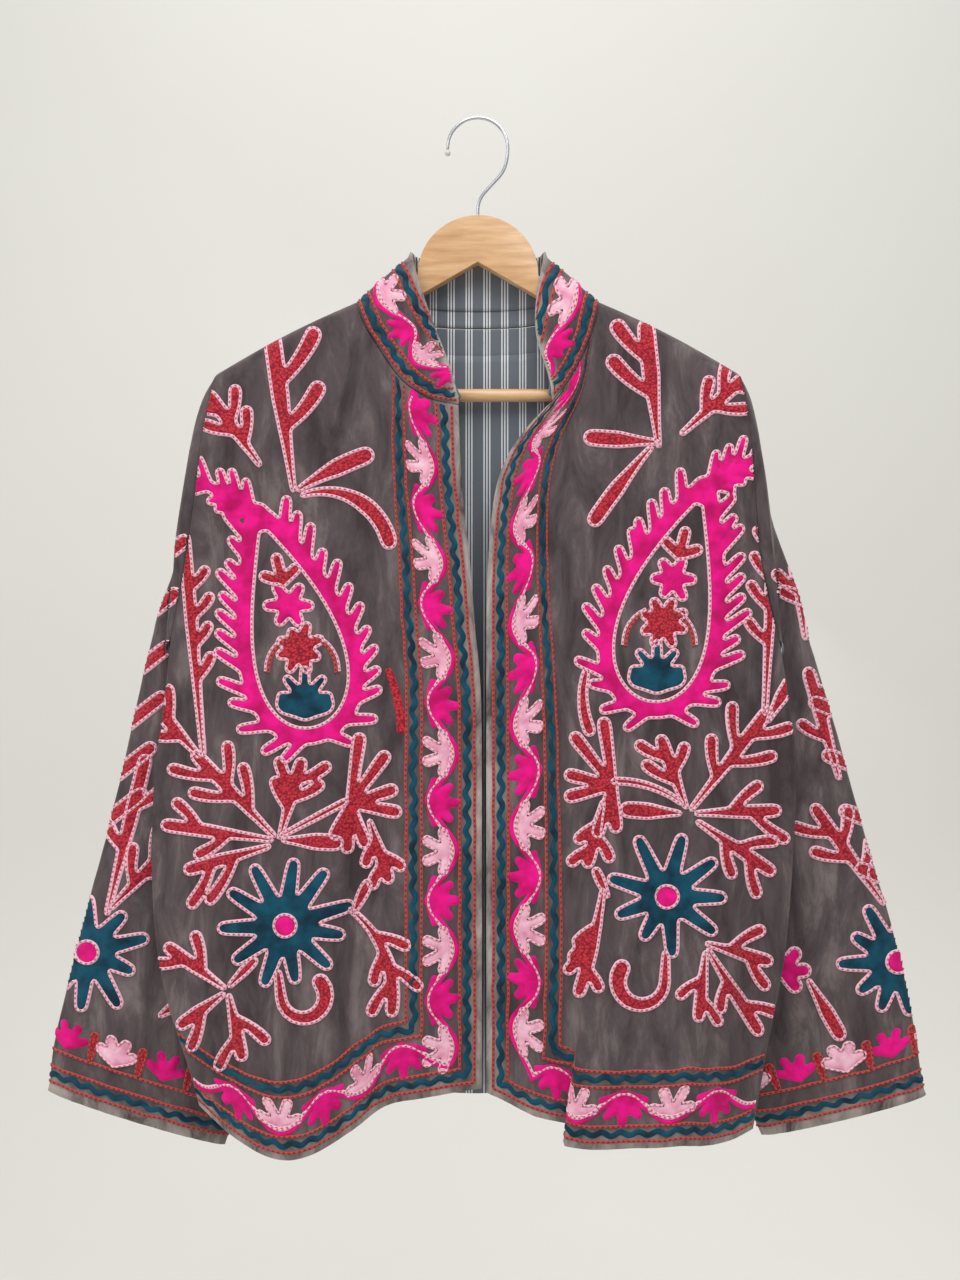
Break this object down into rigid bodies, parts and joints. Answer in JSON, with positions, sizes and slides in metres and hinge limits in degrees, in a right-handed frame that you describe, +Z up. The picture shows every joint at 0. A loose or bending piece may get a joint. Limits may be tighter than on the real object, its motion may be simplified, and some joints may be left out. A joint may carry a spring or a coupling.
{
  "type": "embroidered suzani jacket on a wooden hanger",
  "caption": "Open-front lined velvet jacket with a stand collar and chain-stitched floral embroidery, hung on a wooden suit hanger.",
  "frame": {"origin": "inner crown of the hanger's hook, where a rail or a wall hook carries it", "axes": "+Z up, the front of the jacket faces -Y and +X is the wearer's left"},
  "size_m": [0.739, 0.0903, 0.8603],
  "materials": {
    "velvet": "cotton velvet, matt with a soft nap",
    "lining": "woven cotton lining with thin pale stripes",
    "hanger_beech": "clear-lacquered beech",
    "hook_steel": "bright plated steel wire",
    "hook_cap": "small moulded cap"
  },
  "bodies": {
    "root": {"front_left": "velvet", "front_right": "velvet", "back_panel": "velvet", "back_lining": "lining", "sleeve_left": "velvet", "sleeve_right": "velvet", "collar_outer": "velvet", "collar_lining": "lining", "hanger_wood": "hanger_beech", "trouser_bar": "hanger_beech", "hook_wire": "hook_steel", "hook_tip": "hook_cap"}
  },
  "joints": []
}
